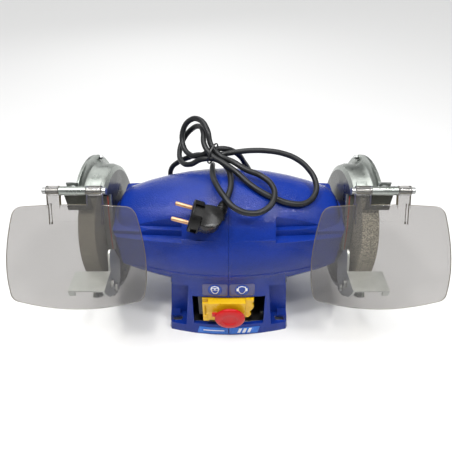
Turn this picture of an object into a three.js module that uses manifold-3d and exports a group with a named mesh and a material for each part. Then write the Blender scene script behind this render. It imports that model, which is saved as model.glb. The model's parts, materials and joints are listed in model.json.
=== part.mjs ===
// Bench grinder with two 150 mm wheels, eye shields, tool rests, a safety switch and a tied mains lead.
// Millimetres, +Z up, +X along the spindle to the right wheel, -Y towards the user.
// The origin is the centre of the base plate's underside, on the bench.
import * as THREE from 'three';
import { mergeVertices } from 'three/addons/utils/BufferGeometryUtils.js';
import Module from 'manifold-3d';

const wasm = await Module();
wasm.setup();

// ---- driving dimensions ----
const AXIS_HEIGHT = 130; // spindle axis above the bench
const GAP = 0.3; // clearance between touching pieces
const BENCH = -AXIS_HEIGHT; // bench level, counted from the spindle axis

const HOUSING_HALF_LENGTH = 140;
const BARREL_MID_RADIUS = 78;
const BARREL_END_RADIUS = 50;
const SHOULDER = 12; // rounding at each end of the barrel
const WALL = 4.5; // casting wall
const SKIRT_TOP = 36;
const SKIRT_MID_DEPTH = 69; // front face from the axis, at the middle
const SKIRT_END_DEPTH = 54; // the same at the ends
const BASE_TOP = -14;
const BASE_TOP_HALF = { width: 73, depth: 70, bow: 4 };
const BASE_FOOT_HALF = { width: 84, depth: 85, bow: 11 };
const END_BOSS = { radius: 36, reach: 144.7 };

const SIDE_POCKET = { start: 55, wallNear: 48, wallFar: 43, step: 6, stepLevel: 40, ledge: 31 };
const FOOT_POCKET = { inTop: 52, inFoot: 59, wall: 56, top: -40, floor: -115, floorThickness: 5 };
const FOOT_SLOT = { width: 8, inner: 69, centre: 66 };
const SWITCH_OPENING = { half: 48, top: -58, bottom: -110 };

const STATOR = { radius: 62, bore: 33, half: 35 };
const SHAFT_RADIUS = 7.5;
const ARBOR_RADIUS = 6.35;
const BEARING = { radius: 17.5, inner: 117, outer: 128 };

const WHEEL = { radius: 75, inner: 155, outer: 175, bore: 8 };
const FLANGE_RADIUS = 25;
const GUARD = { plate: 145, sheet: 1.5, band: 84, flange: 95.5, flangeFace: 171.5, rim: 8 };
const COVER_OUT = 182.5;
const COVER_SCREW = { pitchRadius: 92.2, angles: [55, 300] };
const REST_BOLTS = [[-86, -17], [-77, -35]];

const HINGE = { y: -52, z: 96, pin: 2.4, knuckle: 5, from: 155.3, to: 183.5 };
const SHIELD = { centre: 170, lean: 33.7, half: 1.5 };
const REST = { y0: -109.5, y1: -79.5, top: -3, sheet: 2.5, inner: 142.2, outer: 184.5 };
const CLAMP = { x: 173, y: -42 };
const FLAP = { y: -48, sheet: 1.8, low: 66, leaf: 88.2 };

const SWITCH = { front: -75, centreX: 1.5, level: -80, coverFace: -84, hingeX: 24, hingeY: -79.5 };
const MUSHROOM = { radius: 20, level: -84, face: -93.5, back: -88.3, collar: 8.5 };

const CORD_RADIUS = 3.5;
const GLAND = { x: 30, z: -70 };
const PLUG = {
  face: [-42.4, -65, 72.4], heel: [-8.5, -67.5, 62.4], slope: [0, 0.9, 0.43], neckAt: 29, neckLean: 12, neckLength: 28,
};
const TIE = { centre: [-20, 30, 94.5], tilt: 12, turn: -24, inner: 12.8, sheet: 1, width: 2 };

// Route of the mains lead, counted from the spindle axis: out of the gland, up behind the crown, through
// the tie and round the outer left loop, back through the tie into the front loop, over the crown and down
// behind, up again through the tie into the big right loop, round the inner left loop and on to the plug.
const CORD_ROUTE = [
  [30, 66, -70], [30, 85.2, -70], [30, 104.5, -70], [30.4, 122.9, -65.7], [31.9, 135.4, -51.6], [33.7, 137.2, -32.9],
  [34.9, 128, -16.3], [35.2, 114.2, -2.9], [34.7, 99.6, 9.6], [33.4, 85.9, 23], [31, 73.6, 37.6], [27.1, 62.4, 52.7],
  [20.7, 52.6, 68], [13, 44.6, 83.7], [-0.7, 39, 95.3], [-19.3, 35.7, 96.6], [-35.8, 37.1, 87.7], [-50.5, 47.6, 82.3],
  [-60.6, 61.9, 88.8], [-60.4, 71.9, 104.5], [-49.9, 70.7, 119.8], [-36.1, 59.3, 125.4], [-26.6, 44.2, 119.3], [-21.9, 32.5, 105],
  [-9.6, 22.3, 95.3], [5.6, 10.6, 94.1], [20.9, -0.2, 90], [38.2, -7.4, 86.1], [50.6, -21.1, 82.1], [52.2, -39.1, 76.8],
  [42.2, -54.5, 72.3], [24.7, -61.6, 72.1], [6.8, -57.8, 76.7], [-5.3, -44.5, 83], [-13.9, -27.8, 86.4], [-18.6, -9.2, 86.3],
  [-20, 9.8, 83.7], [-20.5, 28.1, 78.1], [-21, 44.8, 68.7], [-22.3, 59.2, 56], [-22.7, 70.7, 40.6], [-25.6, 77.7, 23.3],
  [-38.3, 79.6, 9.5], [-56.6, 78.6, 5.2], [-73.9, 76.1, 12.6], [-83.1, 72.9, 28.8], [-80.9, 69.6, 47.3], [-68.8, 65.1, 61.1],
  [-55.1, 57.2, 72.1], [-40.4, 49, 81.4], [-25.5, 37.9, 85.9], [-9.1, 31.2, 92.4], [9.8, 32, 95.4], [29, 32.4, 97.3],
  [48.2, 31.3, 97.4], [67.1, 28.7, 95.5], [84.8, 23.2, 90.6], [99.2, 14.1, 81.9], [107.2, -0.1, 72.3], [104.2, -17.4, 65.3],
  [91.3, -30.9, 63], [73.1, -35.4, 65.8], [54.8, -32.4, 70.7], [37.8, -25.4, 75.9], [23, -14.1, 80.7], [9.6, -1.9, 87.2],
  [-4.9, 9.4, 92.3], [-19.7, 21.1, 95.7], [-30.4, 34, 104.3], [-32.2, 50.5, 113.1], [-38.1, 68.4, 112.3], [-50.1, 79, 102.5],
  [-61.9, 77, 88], [-66.6, 63.4, 76], [-61.7, 45.7, 72.2], [-49.4, 32.3, 77.3], [-33.8, 28.2, 87.3], [-15.4, 24.3, 89],
  [-1.8, 12, 84.7], [2.2, -6.3, 81.8], [1.7, -25.3, 78.9], [-4.1, -42.6, 73.2],
];

// ---- materials ----
function material(color, roughness, metalness, more = {}) {
  return new THREE.MeshStandardMaterial({ color, roughness, metalness, ...more });
}
const bluePaint = material(0x1b2d9c, 0.35, 0.1);
const zinc = material(0xa9b0a6, 0.32, 0.9);
const steel = material(0x9a9c9e, 0.35, 0.9);
const darkSteel = material(0x5b5d60, 0.5, 0.8);
const copper = material(0xa85b32, 0.5, 0.6);
const aluminium = material(0xb9bcbf, 0.4, 0.8);
const fineGrit = material(0x5b594f, 0.95, 0);
const coarseGrit = material(0x8c8672, 0.95, 0);
const clearPlastic = material(0xd8d6cc, 0.08, 0, { transparent: true, opacity: 0.35 });
const blackPlastic = material(0x17181a, 0.45, 0);
const yellowPlastic = material(0xf0c400, 0.4, 0);
const redPlastic = material(0xd81f26, 0.35, 0);
const greenPlastic = material(0x1f8a3c, 0.4, 0);
const whitePlastic = material(0xd8d8d2, 0.5, 0);
const rubber = material(0x1c1d1e, 0.6, 0);
const brass = material(0xb98246, 0.35, 0.9);

// ---- solids ----
// A closed mesh with its shared corners merged, as a solid that can be cut and joined.
function solid(geometry) {
  const bare = geometry.index ? geometry.toNonIndexed() : geometry.clone();
  bare.deleteAttribute('normal');
  bare.deleteAttribute('uv');
  const merged = mergeVertices(bare, 1e-4);
  const corners = merged.index.array;
  const kept = [];
  for (let i = 0; i < corners.length; i += 3) {
    const [a, b, c] = [corners[i], corners[i + 1], corners[i + 2]];
    if (a !== b && b !== c && a !== c) kept.push(a, b, c);
  }
  const vertProperties = new Float32Array(merged.attributes.position.array);
  return new wasm.Manifold(new wasm.Mesh({ numProp: 3, vertProperties, triVerts: new Uint32Array(kept) }));
}

// The surface of a solid, for a mesh.
function surface(body) {
  const { vertProperties, triVerts } = body.getMesh();
  const geometry = new THREE.BufferGeometry();
  geometry.setAttribute('position', new THREE.BufferAttribute(vertProperties, 3));
  geometry.setIndex(new THREE.BufferAttribute(triVerts, 1));
  geometry.computeVertexNormals();
  return geometry;
}

function box([x0, x1], [y0, y1], [z0, z1]) {
  const geometry = new THREE.BoxGeometry(x1 - x0, y1 - y0, z1 - z0);
  geometry.translate((x0 + x1) / 2, (y0 + y1) / 2, (z0 + z1) / 2);
  return solid(geometry);
}

// A body turned about the spindle line: its profile is [along X, radius] points, with X rising outside.
function turned(profile, segments = 32) {
  const points = profile.map(([x, r]) => new THREE.Vector2(r, x));
  const geometry = new THREE.LatheGeometry(points, segments);
  geometry.rotateZ(-Math.PI / 2);
  return solid(geometry);
}

// A turned ring or tube, from x0 to x1.
function ring([x0, x1], outer, bore, segments = 32) {
  return turned([[x0, bore], [x0, outer], [x1, outer], [x1, bore], [x0, bore]], segments);
}

function disc([x0, x1], radius, segments = 32) {
  return turned([[x0, 0], [x0, radius], [x1, radius], [x1, 0]], segments);
}

// The same turned shapes about a line along Y or Z through a point.
function alongY(body, [x, y, z]) {
  return body.rotate([0, 0, 90]).translate([x, y, z]);
}

function alongZ(body, [x, y, z]) {
  return body.rotate([0, -90, 0]).translate([x, y, z]);
}

function shapeOf(points) {
  return new THREE.Shape(points.map(([a, b]) => new THREE.Vector2(a, b)));
}

function extruded(shape, depth, curveSegments = 8) {
  return new THREE.ExtrudeGeometry(shape, { depth, bevelEnabled: false, curveSegments });
}

// A plate whose outline is [y, z] points, from x0 to x1.
function plateAcross(points, [x0, x1]) {
  const geometry = extruded(shapeOf(points), x1 - x0);
  geometry.applyMatrix4(new THREE.Matrix4().set(0, 0, 1, x0, 1, 0, 0, 0, 0, 1, 0, 0, 0, 0, 0, 1));
  return solid(geometry);
}

// A plate whose outline is [x, z] points, from y0 to y1.
function plateAlong(points, [y0, y1]) {
  const geometry = extruded(shapeOf(points), y1 - y0);
  geometry.rotateX(Math.PI / 2);
  geometry.translate(0, y1, 0);
  return solid(geometry);
}

// A plate whose outline is [x, y] points, from z0 to z1.
function plateFlat(points, [z0, z1]) {
  const geometry = extruded(shapeOf(points), z1 - z0);
  geometry.translate(0, 0, z0);
  return solid(geometry);
}

function union(...bodies) {
  return bodies.reduce((sum, body) => sum.add(body));
}

function mesh(name, body, look) {
  const made = new THREE.Mesh(surface(body), look);
  made.name = name;
  return made;
}

// Points of an arc about a centre, from one angle to another in degrees.
function arc([cx, cy], radius, from, to, steps) {
  const points = [];
  for (let i = 0; i <= steps; i += 1) {
    const angle = THREE.MathUtils.degToRad(from + ((to - from) * i) / steps);
    points.push([cx + radius * Math.cos(angle), cy + radius * Math.sin(angle)]);
  }
  return points;
}

// ---- housing ----
function barrelRadius(x) {
  const along = x / HOUSING_HALF_LENGTH;
  const fall = (BARREL_MID_RADIUS - BARREL_END_RADIUS) * along * along;
  const past = Math.max(0, Math.abs(x) - (HOUSING_HALF_LENGTH - SHOULDER));
  return BARREL_MID_RADIUS - fall - (SHOULDER - Math.sqrt(SHOULDER * SHOULDER - past * past));
}

function skirtDepth(x) {
  const along = x / HOUSING_HALF_LENGTH;
  return SKIRT_MID_DEPTH - (SKIRT_MID_DEPTH - SKIRT_END_DEPTH) * along * along;
}

// The barrel, drawn in from its outside by an inset.
function barrel(inset, steps, shoulderSteps, segments) {
  const straight = HOUSING_HALF_LENGTH - SHOULDER;
  const stations = [];
  for (let i = 0; i <= steps; i += 1) stations.push((straight * i) / steps);
  for (let i = 1; i <= shoulderSteps; i += 1) {
    stations.push(straight + SHOULDER * Math.sin((Math.PI / 2) * (i / shoulderSteps)));
  }
  const half = HOUSING_HALF_LENGTH - inset;
  const scale = half / HOUSING_HALF_LENGTH;
  const right = stations.map((x) => [x * scale, barrelRadius(x) - inset]);
  const left = right.slice(1).reverse().map(([x, r]) => [-x, r]);
  return turned([[-half, 0], ...left, ...right, [half, 0]], segments);
}

// The skirt below the barrel: bowed front and back faces, with wings whose undersides rise to the ends.
function skirt(inset) {
  const half = HOUSING_HALF_LENGTH - inset;
  const corner = 6;
  const front = [];
  for (let i = -6; i <= 6; i += 1) {
    const x = ((half - corner) * i) / 6;
    front.push([x, -(skirtDepth(x) - inset)]);
  }
  const depth = SKIRT_END_DEPTH - inset;
  const plan = [
    ...front, [half - 1.8, corner * 0.7 - depth], [half, corner + 2 - depth],
    [half, depth - corner - 2], [half - 1.8, depth - corner * 0.7],
    ...front.map(([x, y]) => [-x, -y]),
    [1.8 - half, depth - corner * 0.7], [-half, depth - corner - 2],
    [-half, corner + 2 - depth], [1.8 - half, corner * 0.7 - depth],
  ];
  const right = [[73.5, -30 + inset], [113, -21 + inset], [136, -13 + inset], [half + 1, -11 + inset]];
  const top = SKIRT_TOP - inset;
  const elevation = [
    [-half - 1, top], ...right.map(([x, z]) => [-x, z]).reverse(), [-70, -40], [70, -40], ...right, [half + 1, top],
  ];
  return plateFlat(plan, [-45, top]).intersect(plateAlong(elevation, [-90, 90]));
}

// The base: wider and deeper at the foot, its front and back faces bowed in plan.
function base(inset, bottom) {
  const across = [-1, -0.97, -0.8, -0.55, -0.28, 0, 0.28, 0.55, 0.8, 0.97, 1];
  const outline = across.map((u) => [u, Math.abs(u) === 1 ? -0.94 : -1]);
  const plan = [...outline, ...outline.map(([u, w]) => [-u, -w])];
  const geometry = extruded(shapeOf(plan), 1);
  const position = geometry.attributes.position;
  for (let i = 0; i < position.count; i += 1) {
    const [u, w, rise] = [position.getX(i), position.getY(i), position.getZ(i)];
    const level = THREE.MathUtils.lerp(bottom, BASE_TOP, rise);
    const t = (level - BENCH) / (BASE_TOP - BENCH);
    const width = THREE.MathUtils.lerp(BASE_FOOT_HALF.width, BASE_TOP_HALF.width, t) - inset;
    const depth = THREE.MathUtils.lerp(BASE_FOOT_HALF.depth, BASE_TOP_HALF.depth, t) - inset;
    const bow = THREE.MathUtils.lerp(BASE_FOOT_HALF.bow, BASE_TOP_HALF.bow, t);
    position.setXYZ(i, u * width, w * (depth - bow * u * u), level);
  }
  return solid(geometry);
}

// A body and its mirror images in the planes X = 0 and Y = 0.
function fourWays(body) {
  const pair = body.add(body.mirror([1, 0, 0]));
  return pair.add(pair.mirror([0, 1, 0]));
}

// The hollow beside the centre block, above the wing's ledge: an upper wall, a step and a lower wall.
function sidePocket(margin) {
  const { start, wallNear, wallFar, step, stepLevel, ledge } = SIDE_POCKET;
  const from = start - margin;
  const end = HOUSING_HALF_LENGTH + 5;
  const wall = (out) => [
    [from, -(wallNear + out - margin)], [from, -120], [end, -120], [end, -(wallFar + out - margin)],
  ];
  const upper = plateFlat(wall(0), [stepLevel - margin, 110]);
  return upper.add(plateFlat(wall(step), [ledge - margin, 110]));
}

// The notch above each foot that leaves room for the bench bolt.
function footPocket(margin) {
  const { inTop, inFoot, wall, top, floor } = FOOT_POCKET;
  const bottom = margin > 0 ? floor - FOOT_POCKET.floorThickness : floor;
  const outline = [[inTop - margin, top + margin], [inFoot - margin, bottom], [120, bottom], [120, top + margin]];
  const notch = plateAlong(outline, [-120, -(wall - margin)]);
  const { inner } = FOOT_SLOT;
  const fillet = plateAcross([[-(wall + 5), floor], [-(wall - 1), floor], [-(wall - 1), floor + 9]], [inner, 120]);
  return margin > 0 ? notch : notch.subtract(fillet);
}

function footSlot() {
  const { width, inner, centre } = FOOT_SLOT;
  const y = [-(centre + width / 2), -(centre - width / 2)];
  const round = alongZ(disc([-5, 20], width / 2, 16), [inner, -centre, BENCH]);
  return box([inner, 100], y, [BENCH - 5, BENCH + 20]).add(round);
}

function housing() {
  let outside = union(barrel(0, 5, 3, 40), skirt(0), base(0, BENCH));
  outside = outside.subtract(fourWays(sidePocket(0))).subtract(fourWays(footPocket(0)));
  const boss = disc([HOUSING_HALF_LENGTH - 8, END_BOSS.reach], END_BOSS.radius, 28);
  outside = union(outside, boss, boss.mirror([1, 0, 0]));
  let hollow = union(barrel(WALL, 3, 1, 20), skirt(WALL), base(WALL, BENCH - 2));
  hollow = hollow.subtract(fourWays(sidePocket(WALL))).subtract(fourWays(footPocket(WALL)));
  const bearingBoss = disc([BEARING.inner - 1, HOUSING_HALF_LENGTH], BEARING.radius + 6, 20);
  const below = box([0, 60], [-95, 95], [-95, -45]);
  const seat = ring([20, 31], 90, STATOR.radius + GAP, 32).subtract(below);
  hollow = hollow.subtract(bearingBoss).subtract(bearingBoss.mirror([1, 0, 0]));
  hollow = hollow.subtract(seat).subtract(seat.mirror([1, 0, 0]));
  const bearingBore = disc([BEARING.inner - 2, BEARING.outer + GAP], BEARING.radius + GAP, 24);
  const shaftBore = disc([BEARING.outer - 2, END_BOSS.reach + 2], SHAFT_RADIUS + 2.5, 16);
  const bores = bearingBore.add(shaftBore);
  const { half, top, bottom } = SWITCH_OPENING;
  const opening = box([-half, half], [-100, -60], [bottom, top]);
  const glandHole = alongY(disc([60, 100], 9, 16), [GLAND.x, 0, GLAND.z]);
  return outside.subtract(hollow).subtract(bores).subtract(bores.mirror([1, 0, 0]))
    .subtract(opening).subtract(glandHole).subtract(fourWays(footSlot()));
}

function housingHalves() {
  const whole = housing();
  const right = whole.intersect(box([GAP / 2, 200], [-200, 200], [-200, 200]));
  const left = whole.intersect(box([-200, -GAP / 2], [-200, 200], [-200, 200]));
  return [mesh('housing_right', right, bluePaint), mesh('housing_left', left, bluePaint)];
}

function basePlate() {
  const group = new THREE.Group();
  const screws = [[-50, 45], [50, -45]];
  let plate = box([-58, 58], [-62, 62], [BENCH, BENCH + 2]);
  for (const [x, y] of screws) plate = plate.subtract(alongZ(disc([-1, 3], 2.4, 16), [x, y, BENCH]));
  group.add(mesh('base_plate', plate, steel));
  screws.forEach(([x, y], i) => {
    const head = disc([2 + GAP, 5], 4, 16).add(disc([0.4, 3], 2, 16));
    group.add(mesh(`base_screw_${i + 1}`, alongZ(head, [x, y, BENCH]), steel));
  });
  return group;
}

// ---- motor ----
function stator() {
  const { radius, bore, half } = STATOR;
  let core = ring([-half, half], radius, bore, 32);
  const slot = box([-half - 1, half + 1], [-2.5, 2.5], [bore - 2, bore + 12]);
  for (let i = 0; i < 12; i += 1) core = core.subtract(slot.rotate([i * 30, 0, 0]));
  return mesh('stator_core', core, darkSteel);
}

function windingHead(name) {
  const from = STATOR.half + GAP;
  const profile = [[from, 40], [from, 58], [from + 8, 60], [from + 13, 52], [from + 11, 42], [from, 40]];
  return mesh(name, turned(profile, 20), copper);
}

function bearing(name) {
  const body = ring([BEARING.inner, BEARING.outer], BEARING.radius, SHAFT_RADIUS + GAP, 24);
  return mesh(name, body, steel);
}

function rotor() {
  const body = ring([-STATOR.half, STATOR.half], STATOR.bore - 0.7, SHAFT_RADIUS + GAP, 20);
  return mesh('rotor_core', body, darkSteel);
}

function fan() {
  let body = ring([56, 72], 12, SHAFT_RADIUS + GAP, 16).add(ring([56, 58], 40, 10, 20));
  const blade = box([57, 71], [-1, 1], [11, 39]);
  for (let i = 0; i < 8; i += 1) body = body.add(blade.rotate([i * 45, 0, 0]));
  return mesh('cooling_fan', body, blackPlastic);
}

function shaft() {
  const body = turned([
    [-191, 0], [-191, ARBOR_RADIUS], [-147, ARBOR_RADIUS], [-147, SHAFT_RADIUS], [147, SHAFT_RADIUS],
    [147, ARBOR_RADIUS], [191, ARBOR_RADIUS], [191, 0],
  ], 18);
  return mesh('spindle_shaft', body, steel);
}

function electricParts() {
  const group = new THREE.Group();
  const capacitor = disc([-34, 34], 17, 24).translate([0, 34, BENCH + 2 + GAP + 17]);
  group.add(mesh('run_capacitor', capacitor, whitePlastic));
  const block = box([-22, 22], [-20, 4], [BENCH + 2 + GAP, BENCH + 18]);
  group.add(mesh('terminal_block', block, whitePlastic));
  return group;
}

// ---- wheels, made for the right side ----
function wheelSet(side) {
  const group = new THREE.Group();
  const wheel = ring([WHEEL.inner, WHEEL.outer], WHEEL.radius, WHEEL.bore, 44);
  group.add(mesh(`wheel_${side}`, wheel, side === 'left' ? fineGrit : coarseGrit));
  const bore = ARBOR_RADIUS + GAP;
  const face = WHEEL.inner - GAP;
  const inner = turned([
    [147 + GAP, bore], [147 + GAP, 13], [149.5, 13], [149.5, FLANGE_RADIUS], [face, FLANGE_RADIUS], [face, bore],
    [147 + GAP, bore],
  ], 24);
  group.add(mesh(`wheel_flange_inner_${side}`, inner, steel));
  const outer = ring([WHEEL.outer + GAP, WHEEL.outer + 5], FLANGE_RADIUS, bore, 24);
  group.add(mesh(`wheel_flange_outer_${side}`, outer, steel));
  const nut = disc([WHEEL.outer + 5 + GAP, WHEEL.outer + 14], 11, 6).subtract(disc([WHEEL.outer, WHEEL.outer + 20], bore, 18));
  group.add(mesh(`wheel_nut_${side}`, nut, steel));
  return group;
}

// ---- guards, made for the right side ----
// The front edge of the guard plates, from the top of the mouth down to its bottom, as [y, z] points.
const MOUTH_EDGE = [[-18, 64], [-27, 45], [-35, 27], [-42, 4], [-49, -20]];

// The open front of the guard, where the wheel is reached.
function mouth() {
  const outline = [[-47, 116], [-31, 76], ...MOUTH_EDGE, [-61, -36], [-74, -48], [-100, -66], [-140, -66], [-140, 116]];
  return plateAcross(outline, [100, 230]);
}

function guardDrum() {
  const { plate, sheet, band, flange, flangeFace, rim } = GUARD;
  const outer = arc([plate + rim, band - rim], rim, 180, 90, 2);
  const inner = arc([plate + rim, band - rim], rim - sheet, 90, 180, 2);
  return turned([
    [plate, 14], ...outer, [163, band], [168.5, band + 2.4], [flangeFace, band + 5], [flangeFace, flange],
    [flangeFace + sheet, flange], [flangeFace + sheet, band + 4.4], [169.4, band + 1], [163.4, band - sheet],
    ...inner, [plate + sheet, 14], [plate, 14],
  ], 44);
}

function coverScrewPlaces() {
  return COVER_SCREW.angles.map((degrees) => {
    const angle = THREE.MathUtils.degToRad(degrees);
    return [COVER_SCREW.pitchRadius * Math.cos(angle), COVER_SCREW.pitchRadius * Math.sin(angle)];
  });
}

function screwHoles() {
  return union(...coverScrewPlaces().map(([y, z]) => disc([165, 180], 2.3, 8).translate([0, y, z])));
}

function guard(side) {
  const { plate, sheet } = GUARD;
  const lug = plateAcross([
    [-47, -21], [-60, -12], [-84, -8], [-95, -11], [-95, -24], [-83, -45], [-74, -51], [-60, -37], [-46, -30],
  ], [plate, plate + sheet]);
  const fold = plateAcross([
    ...MOUTH_EDGE, ...MOUTH_EDGE.map(([y, z]) => [y + sheet, z]).reverse(),
  ], [plate + 0.5, plate + 8.5]);
  let body = union(guardDrum().subtract(mouth()), lug, fold).subtract(screwHoles());
  for (const [y, z] of REST_BOLTS) body = body.subtract(disc([140, 150], 2.8, 10).translate([0, y, z]));
  return mesh(`guard_${side}`, body, zinc);
}

function guardCover(side) {
  const { flange, flangeFace, sheet } = GUARD;
  const from = flangeFace + sheet + GAP;
  const out = COVER_OUT;
  const body = turned([
    [192.2, 0], [192.2, 23], [out - sheet, 31], [out - sheet, 80], [from + 4, 86.5], [from, 87.5], [from, flange],
    [from + sheet, flange], [from + sheet, 88.5], [from + 5, 87.6], [out, 80.8], [out, 31.9], [193.7, 24.2], [193.7, 0],
  ], 44);
  return mesh(`guard_cover_${side}`, body.subtract(mouth()).subtract(screwHoles()), zinc);
}

function coverScrews(side) {
  const group = new THREE.Group();
  const { flangeFace, sheet } = GUARD;
  const outside = flangeFace + 2 * sheet + 2 * GAP;
  coverScrewPlaces().forEach(([y, z], i) => {
    const nut = disc([flangeFace - 3.6, flangeFace - GAP], 3.4, 6);
    const head = disc([outside, outside + 2.6], 3.2, 12);
    const screw = union(nut, head, disc([flangeFace - 5, outside + 1], 1.9, 8));
    group.add(mesh(`cover_screw_${side}_${i + 1}`, screw.translate([0, y, z]), steel));
  });
  return group;
}

// ---- eye shield, its bracket and the spark flap, made for the right side ----
function bracket(side) {
  const { y, z, knuckle, from, to, pin } = HINGE;
  const strap = plateAcross([
    [-18, 82.5], [-30, 79.2], [-35, 84], [-38.5, 90.3], [-45, 90.3], [-45, 92.3], [-37.3, 92.3], [-33.3, 85.4],
    [-29.3, 81.4], [-17.5, 84.6],
  ], [150, 162.5]);
  const top = box([from, to], [-51, -38], [90.3, 92.3]);
  const tube = ring([from, to], knuckle, pin + GAP + 0.1, 14).translate([0, y, z]);
  const clear = disc([from - 1, to + 1], pin + GAP + 0.1, 14).translate([0, y, z]);
  const hole = alongZ(disc([80, 100], 2.3, 12), [CLAMP.x, CLAMP.y, 0]);
  return mesh(`shield_bracket_${side}`, union(strap, top, tube).subtract(clear).subtract(hole), zinc);
}

function clampBolt(side) {
  const dome = turned([[0, 0], [0, 4.6], [1.2, 4.6], [3.2, 3.4], [4, 0]], 14);
  const wing = box([3, 7.5], [-0.9, 0.9], [-6.5, 6.5]);
  const body = union(dome, wing, disc([-7.4, 1], 2, 12), disc([-7.8, -4.8], 4, 6));
  return mesh(`clamp_bolt_${side}`, alongZ(body, [CLAMP.x, CLAMP.y, 92.6]), zinc);
}

function sparkFlap(side) {
  const { y, sheet, low, leaf } = FLAP;
  const upright = box([HINGE.from, HINGE.to], [y, y + sheet], [low, leaf + sheet]);
  const top = box([HINGE.from, HINGE.to], [y, -39.2], [leaf, leaf + sheet]);
  const slot = box([CLAMP.x - 2.3, CLAMP.x + 2.3], [CLAMP.y - 2.3, -37], [leaf - 1, leaf + 3]);
  return mesh(`spark_flap_${side}`, union(upright, top).subtract(slot), zinc);
}

// The clear plate hangs from the hinge line: Z counts down the plate, Y through it.
function shieldPlate(side) {
  const { half, centre } = SHIELD;
  const outline = new THREE.Shape();
  outline.moveTo(-57, -17);
  outline.quadraticCurveTo(-66, -18, -69, -28);
  outline.quadraticCurveTo(-83, -78, -76, -114);
  outline.quadraticCurveTo(-75, -124, -65, -125.5);
  outline.quadraticCurveTo(0, -142.5, 65, -125.5);
  outline.quadraticCurveTo(75, -124, 76, -114);
  outline.quadraticCurveTo(83, -78, 69, -28);
  outline.quadraticCurveTo(66, -18, 57, -17);
  outline.quadraticCurveTo(0, -12.5, -57, -17);
  const flat = extruded(outline, 2 * half, 4);
  flat.rotateX(Math.PI / 2);
  flat.translate(0, half, 0);
  let body = solid(flat);
  for (const [x0, x1] of [[-32, -15.2], [14.2, 28]]) {
    const ear = disc([x0, x1], 5.6, 14).add(box([x0, x1], [-2.6, 2.6], [-19, -2]));
    body = body.add(ear);
  }
  const pad = box([-32, 28], [half - 0.5, half + 2.2], [-34, -17]);
  const ribs = box([-32, -29.5], [half - 0.5, half + 4], [-37, -14]).add(
    box([25.5, 28], [half - 0.5, half + 4], [-37, -14]),
  );
  body = union(body, pad, ribs).subtract(disc([-40, 40], HINGE.pin + GAP, 12));
  body = body.subtract(box([HINGE.from - GAP - centre, HINGE.to + GAP - centre], [-9, 9], [-12, 9]));
  return mesh(`shield_${side}`, body, clearPlastic);
}

function shield(side) {
  const hinge = new THREE.Group();
  hinge.position.set(SHIELD.centre, HINGE.y, HINGE.z);
  hinge.rotation.x = THREE.MathUtils.degToRad(-SHIELD.lean);
  hinge.add(shieldPlate(side));
  const pin = turned([
    [-36.5, 0], [-36.5, 3.7], [-32.4, 3.7], [-32.4, HINGE.pin], [28.4, HINGE.pin], [28.4, 3.7], [32.5, 3.7], [32.5, 0],
  ], 12);
  hinge.add(mesh(`hinge_pin_${side}`, pin, steel));
  return hinge;
}

// ---- tool rest, made for the right side ----
function toolRest(side) {
  const { y0, y1, top, sheet, inner, outer } = REST;
  const platform = box([inner, outer], [y0, y1], [top - sheet, top]);
  const cheek = plateAcross([
    [y0, top - 0.01], [y1, top - 0.01], [-68, 15], [-62, 17], [-52, 7], [-43, -21], [-56, -40], [-76, -47],
    [-101, -25], [y0, -9],
  ], [inner, inner + sheet]);
  const tab = box([outer - 7, outer], [y0, y0 + sheet], [top - 9, top - 1]);
  let body = union(platform, cheek, tab);
  for (const [y, z] of REST_BOLTS) {
    const ends = [y - 3, y + 6].map((at) => disc([inner - 1, inner + 4], 2.8, 10).translate([0, at, z]));
    body = body.subtract(union(...ends, box([inner - 1, inner + 4], [y - 3, y + 6], [z - 2.8, z + 2.8])));
  }
  return mesh(`tool_rest_${side}`, body, zinc);
}

function restBolts(side) {
  const group = new THREE.Group();
  const { plate, sheet } = GUARD;
  REST_BOLTS.forEach(([y, z], i) => {
    const head = disc([REST.inner - 3.4, REST.inner - GAP], 4.6, 6);
    const washer = disc([REST.inner - 1.4, REST.inner - GAP], 5.4, 14);
    const nut = disc([plate + sheet + GAP, plate + sheet + 3.6], 4.2, 6);
    const bolt = union(head, washer, nut, disc([REST.inner - 2, plate + sheet + 4], 2.5, 12));
    group.add(mesh(`rest_bolt_${side}_${i + 1}`, bolt.translate([0, y, z]), steel));
  });
  return group;
}

// ---- switch ----
const BUTTONS = { start: [-17, -80, -77.4], off: [SWITCH.centreX, -84, -76.6] };

function switchBody() {
  let body = box([-41, 30], [-72, -44], [-100, -60]);
  for (const [x, z] of Object.values(BUTTONS)) body = body.subtract(alongY(disc([-80, -63], 7, 20), [x, 0, z]));
  return mesh('switch_body', body, blackPlastic);
}

function switchPlate() {
  const { front } = SWITCH;
  const scallops = [[33, -63], [31, -68], [33.5, -73], [32.5, -79], [28, -86], [30.5, -92], [27, -98]];
  const outline = [[-35, -99.5], [-35, -60.5], [33, -60.5], ...scallops, [22, -99.5]];
  let plate = plateAlong(outline, [front, -72 - GAP]);
  plate = plate.add(plateAlong([[22.6, -60.5], [33, -60.5], ...scallops, [22.6, -98]], [-78, front + 0.5]));
  for (const [x, z] of Object.values(BUTTONS)) plate = plate.subtract(alongY(disc([-80, -70], 7, 20), [x, 0, z]));
  return mesh('switch_plate', plate, yellowPlastic);
}

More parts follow.
